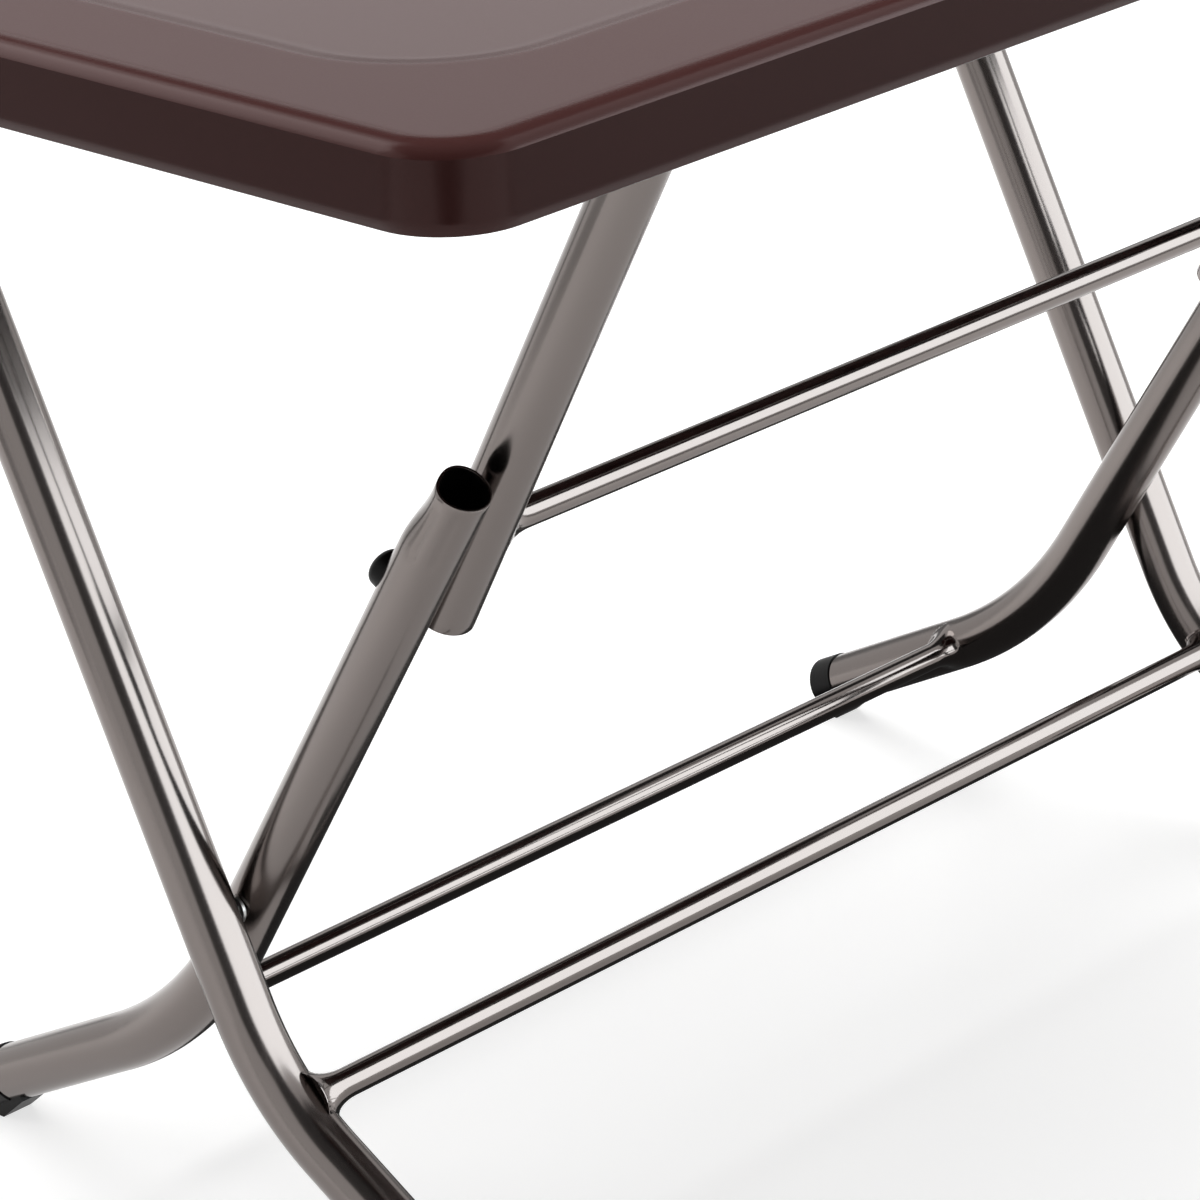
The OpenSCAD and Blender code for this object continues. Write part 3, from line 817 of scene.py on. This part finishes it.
def chain(points):
    """A start mesh for the tube tree: the points of a path and the edges between them."""
    return points, [(i, i + 1) for i in range(len(points) - 1)]


def nearest(points, place):
    """The path point that lies nearest to a place."""
    return min(points, key=lambda point: (point - place).length_squared)


def make_tube(name, points, change=None):
    """A hollow tube along a path. change may move the points of the outer skin first."""
    piece = run_tree(name, chain(points), tube_tree,
                     {"Radius": TUBE_R, "Sides": TUBE_SIDES, "Material": plated_steel})
    work = bmesh.new()
    work.from_mesh(piece.data)
    outward = 0
    for face in list(work.faces)[:TURN_CHECK_FACES]:
        middle = face.calc_center_median()
        outward += (middle - nearest(points, middle)).dot(face.normal)
    if outward < 0:
        bmesh.ops.reverse_faces(work, faces=work.faces)
    if change is not None:
        change(work)
    work.to_mesh(piece.data)
    work.free()
    wall = piece.modifiers.new("wall", "SOLIDIFY")
    wall.thickness = TUBE_WALL
    wall.offset = -1
    wall.use_even_offset = True
    lips = piece.modifiers.new("lips", "BEVEL")
    lips.width = LIP_ROUND
    lips.segments = LIP_SEGMENTS
    lips.angle_limit = LIP_ANGLE
    apply_modifiers(piece)
    mark(piece, "drawn", [1.0] * len(piece.data.vertices))
    return piece


SIDES = {"near": -1, "far": 1}
for label, sign in SIDES.items():
    route = stand_up(bent_path(**OUTER_LEG), CROSS, OUTER_LEAN, False, sign * OUTER_Y)
    leg = make_tube("leg_tube_" + label, route)
    finish_piece(leg, "outer_frame", "plated_steel", ("outer_leg_" + label,))
    report(leg)
    straight = [(0, upper_up - (upper_up + UPPER_BELOW) * i / UPPER_STEPS)
                for i in range(UPPER_STEPS + 1)]
    route = stand_up(straight, KNEE, UPPER_LEAN, True, sign * UPPER_Y)
    tube = make_tube("brace_tube_" + label, route)
    finish_piece(tube, "upper_frame", "plated_steel", ("upper_tube_" + label,))
    report(tube)

# %% [markdown]
# The lower tubes end open beside the knee. Their mouth isn't round any more: its upper, outward side
# is pressed in, and two shallow flutes run down from the mouth. Both are small moves of the skin's
# points, before the wall gets its thickness, and they fade out along the tube.

# %% Pressed mouth of the lower tubes
NECK_DEPTH = 0.0040
NECK_FLAT = 0.008
NECK_END = 0.045
NECK_BACK = 0.889
NECK_OUT = 0.459
FLUTE_DEPTH = 0.0009
FLUTE_WIDTH = math.radians(6)
FLUTE_ANGLES = (math.radians(-20), math.radians(20))
FLUTE_START = 0.003
FLUTE_FADE = 0.006
lower_up_dir = Vector((math.cos(LOWER_LEAN), 0, math.sin(LOWER_LEAN)))
lower_back_dir = Vector((-math.sin(LOWER_LEAN), 0, math.cos(LOWER_LEAN)))


def press_mouth(sign):
    """Gives a function that presses the open end of one lower tube."""
    outward = Vector((0, sign, 0))
    neck = (NECK_BACK * lower_back_dir + NECK_OUT * outward).normalized()
    front = (-NECK_OUT * lower_back_dir + NECK_BACK * outward).normalized()
    across = lower_up_dir.cross(front)
    origin = CROSS + outward * LOWER_Y

    def change(work):
        """Moves the points of the skin near the mouth towards the tube's middle line."""
        for vert in work.verts:
            from_mouth = LOWER_TUBE["up"] - (vert.co - origin).dot(lower_up_dir)
            if from_mouth > NECK_END:
                continue
            axis_point = origin + lower_up_dir * (LOWER_TUBE["up"] - from_mouth)
            radial = (vert.co - axis_point).normalized()
            fade = min(1, max(0, (NECK_END - from_mouth) / (NECK_END - NECK_FLAT)))
            fade = fade * fade * (3 - 2 * fade)
            press = NECK_DEPTH * fade * max(0, radial.dot(neck)) ** 2
            angle = math.atan2(radial.dot(across), radial.dot(front))
            if from_mouth > FLUTE_START:
                for middle in FLUTE_ANGLES:
                    press += FLUTE_DEPTH * math.exp(-((angle - middle) / FLUTE_WIDTH) ** 2) * \
                        min(1, (NECK_END - from_mouth) / FLUTE_FADE)
            vert.co -= radial * press
    return change


for label, sign in SIDES.items():
    route = stand_up(bent_path(**LOWER_TUBE), CROSS, LOWER_LEAN, True, sign * LOWER_Y)
    tube = make_tube("fold_tube_" + label, route, press_mouth(sign))
    finish_piece(tube, "lower_frame", "plated_steel", ("lower_tube_" + label,))
    report(tube)

# %% [markdown]
# ## Crossbars
# Each bar is welded between two tubes. Where a bar meets a tube, the weld flares its end into the
# round of the tube. So the bar is again a stack of rings: plain in the middle, wider towards each end,
# with every point of an end ring laid on the surface of the tube.

# %% Bars with flared ends
BAR_SIDES = 40
FLARE_STEPS = 8
ROD_R = 0.008
FLARE_STRETCH = 2.2
WIDEST = 0.98 * TUBE_R


def welded_bar(name, middle, radius, tube_y, tube_dir, off_axis, flare):
    """A bar along Y between two tubes. off_axis is how far it passes beside the tubes' middle."""
    across = Vector((-tube_dir.z, 0, tube_dir.x))
    profile = []
    for step in range(FLARE_STEPS + 1):
        angle = QUARTER * (1 - step / FLARE_STEPS)
        profile.append((radius + flare * (1 - math.cos(angle)),
                        FLARE_STRETCH * flare * (1 - math.sin(angle))))

    def ring(sign, wide, gap):
        """One ring of the bar. A gap of zero lays it on the surface of the tube."""
        points = []
        for i in range(BAR_SIDES):
            turn = 2 * math.pi * i / BAR_SIDES
            side = wide * math.cos(turn)
            beside = max(-WIDEST, min(WIDEST, side + off_axis))
            reach = tube_y - math.sqrt(TUBE_R ** 2 - beside ** 2) - gap
            points.append(middle + across * side + tube_dir * (wide * math.sin(turn)) +
                          Vector((0, sign * reach, 0)))
        return points

    bar_rings = [ring(-1, profile[0][0], -SINK)]
    bar_rings += [ring(-1, wide, gap) for wide, gap in profile]
    bar_rings += [ring(1, wide, gap) for wide, gap in reversed(profile)]
    bar_rings.append(ring(1, profile[0][0], -SINK))
    piece = rings_to_mesh(name, bar_rings)
    place = piece.data.attributes.new("tube_place", "FLOAT_VECTOR", "POINT")
    for vert in piece.data.vertices:
        local = vert.co - middle
        place.data[vert.index].vector = (local.dot(across), local.dot(tube_dir), local.y)
    return piece


OUTER_BAR_ANGLE = math.radians(22.7)
OUTER_BAR_IN = 0.0075
upper_dir = Vector((math.cos(UPPER_LEAN), 0, math.sin(UPPER_LEAN)))
outer_dir = Vector((-math.cos(OUTER_LEAN), 0, math.sin(OUTER_LEAN)))
lower_foot_dir = Vector((math.cos(LOWER_FOOT), 0, math.sin(LOWER_FOOT)))
front_slope = OUTER_LEAN - OUTER_BAR_ANGLE
front_foot_dir = Vector((-math.cos(front_slope), 0, math.sin(front_slope)))
BARS = [("knee_crossbar", "knee_bar", "upper_frame", BAR_R, UPPER_Y, upper_dir, 0, 0.007),
        ("hinge_crossbar", "upper_hinge_rod", "upper_frame", ROD_R, UPPER_Y, upper_dir, 0, 0.003),
        ("rear_crossbar", "rear_foot_bar", "lower_frame", BAR_R, LOWER_Y, lower_foot_dir, 0, 0.007),
        ("front_crossbar", "front_foot_bar", "outer_frame", BAR_R, OUTER_Y, front_foot_dir,
         -OUTER_BAR_IN, 0.008),
        ("rod_crossbar", "rear_rod", "outer_frame", ROD_R, OUTER_Y, outer_dir, 0, 0.003)]
BAR_SHARP = 50
for name, node, body, radius, tube_y, direction, off_axis, flare in BARS:
    bar = welded_bar(name, middle_of(node), radius, tube_y, direction, off_axis, flare)
    finish_piece(bar, body, "plated_steel", (node,), sharp=BAR_SHARP)
    report(bar)

# %% [markdown]
# ## Black buttons
# Beside each knee a black dome sits on the lower tube. It is a lathe part: a low rim and a dome. Its
# base is sunk into the tube, so the tube's own round cuts it.

# %% Domes on the lower tubes
BUTTON_R = 0.011
BUTTON_DROP = 0.029
BUTTON_RIM = 0.0012
BUTTON_DOME = 0.0066
BUTTON_CHAMFER = 0.0006
BUTTON_BASE = 0.006
BUTTON_EDGE = 0.005
DOME_STEPS = 12
for label, sign in SIDES.items():
    seat = KNEE - lower_up_dir * BUTTON_DROP + Vector((0, sign * LOWER_Y, 0))
    sections = [(BUTTON_R - BUTTON_CHAMFER, TUBE_R - BUTTON_BASE), (BUTTON_R, TUBE_R - BUTTON_EDGE),
                (BUTTON_R, TUBE_R + BUTTON_RIM)]
    for step in range(1, DOME_STEPS):
        angle = QUARTER * step / DOME_STEPS
        sections.append((BUTTON_R * math.cos(angle),
                         TUBE_R + BUTTON_RIM + BUTTON_DOME * math.sin(angle)))
    dome_rings = []
    for radius, height in sections:
        ring = []
        for i in range(BAR_SIDES):
            turn = 2 * math.pi * i / BAR_SIDES
            ring.append(seat + lower_back_dir * height + lower_up_dir * (radius * math.cos(turn)) +
                        Vector((0, radius * math.sin(turn), 0)))
        dome_rings.append(ring)
    dome = rings_to_mesh("dome_" + label, dome_rings)
    finish_piece(dome, "lower_frame", "black_plastic", ("lower_button_" + label,))
    report(dome)
